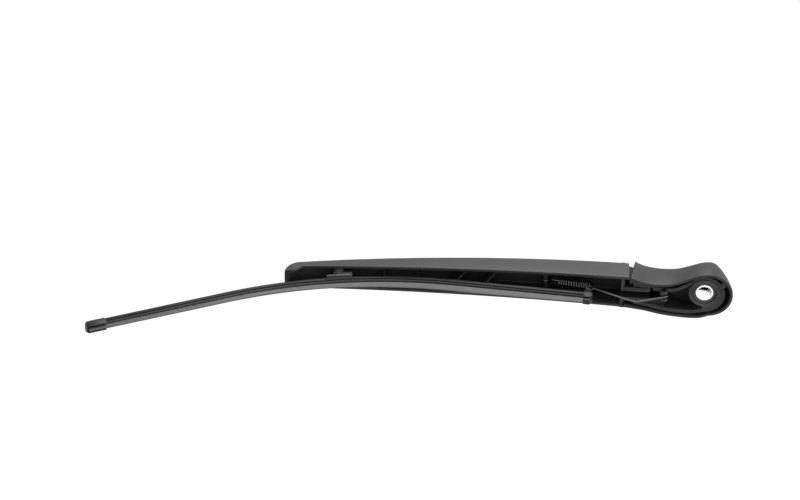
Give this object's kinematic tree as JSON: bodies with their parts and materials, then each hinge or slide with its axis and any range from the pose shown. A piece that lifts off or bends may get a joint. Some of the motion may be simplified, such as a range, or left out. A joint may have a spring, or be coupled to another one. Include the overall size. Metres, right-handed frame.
{
  "type": "rear wiper arm",
  "caption": "Rear wiper arm with hinged spindle head, coil-spring link and a curved flat-beam blade that rocks on the arm's nose.",
  "frame": {"origin": "centre of the spindle bore's mouth, on the glass side of the head", "axes": "+X along the arm towards the head's round end, +Y away from the glass along the spindle, +Z sideways across the arm"},
  "size_m": [0.4861, 0.0811, 0.0399],
  "materials": {
    "arm_plastic": "fine-grained black moulding",
    "head_plastic": "fine-grained black moulding",
    "casting": "dark coated casting",
    "bush_steel": "bright turned steel",
    "pin_steel": "zinc plated",
    "sleeve": "plain bearing liner",
    "spring_steel": "oiled spring wire",
    "link_steel": "zinc plated wire",
    "rail_steel": "black coated spring steel",
    "blade_plastic": "soft black moulding",
    "squeegee": "graphite coated rubber"
  },
  "bodies": {
    "head": {"head_cover": "head_plastic", "head_casting": "casting", "spindle_bush": "bush_steel", "hinge_pin": "pin_steel", "anchor_pin": "pin_steel", "nut_cover_pin": "pin_steel"},
    "nut_lid": {"nut_cover": "head_plastic"},
    "arm": {"arm_shell": "arm_plastic", "hinge_bush_near": "sleeve", "hinge_bush_far": "sleeve", "spring_pin": "pin_steel", "blade_pin": "pin_steel"},
    "link": {"spring_link": "link_steel", "tension_spring": "spring_steel"},
    "blade": {"blade_adapter": "blade_plastic", "blade_clamp": "blade_plastic", "rail_near": "rail_steel", "rail_far": "rail_steel", "spoiler_left": "blade_plastic", "spoiler_right": "blade_plastic", "wiper_rubber": "squeegee", "end_cap_left": "blade_plastic", "end_cap_right": "blade_plastic"}
  },
  "joints": [
    {"name": "arm_lift", "type": "hinge", "parent": "head", "child": "arm", "pos_m": [-0.049, 0.017, 0], "axis": [0, 0, -1], "range_deg": [0, 50], "stiffness_Nm_per_rad": 1.2, "springref_deg": -34.38},
    {"name": "link_swing", "type": "hinge", "parent": "head", "child": "link", "pos_m": [-0.0305, -0.0004, -0.0018], "axis": [0, 0, -1], "range_deg": [0, 40], "deforming": ["tension_spring"]},
    {"name": "blade_rock", "type": "hinge", "parent": "arm", "child": "blade", "pos_m": [-0.2745, 0.0236, 0], "axis": [0, 0, 1], "range_deg": [-9, 3]},
    {"name": "nut_cover_flip", "type": "hinge", "parent": "head", "child": "nut_lid", "pos_m": [-0.0122, 0.01725, 0], "axis": [0, 0, 1], "range_deg": [0, 95]}
  ],
  "couplings": [
    {"joint": "link_swing", "follows": "arm_lift", "ratio": 0.74}
  ]
}
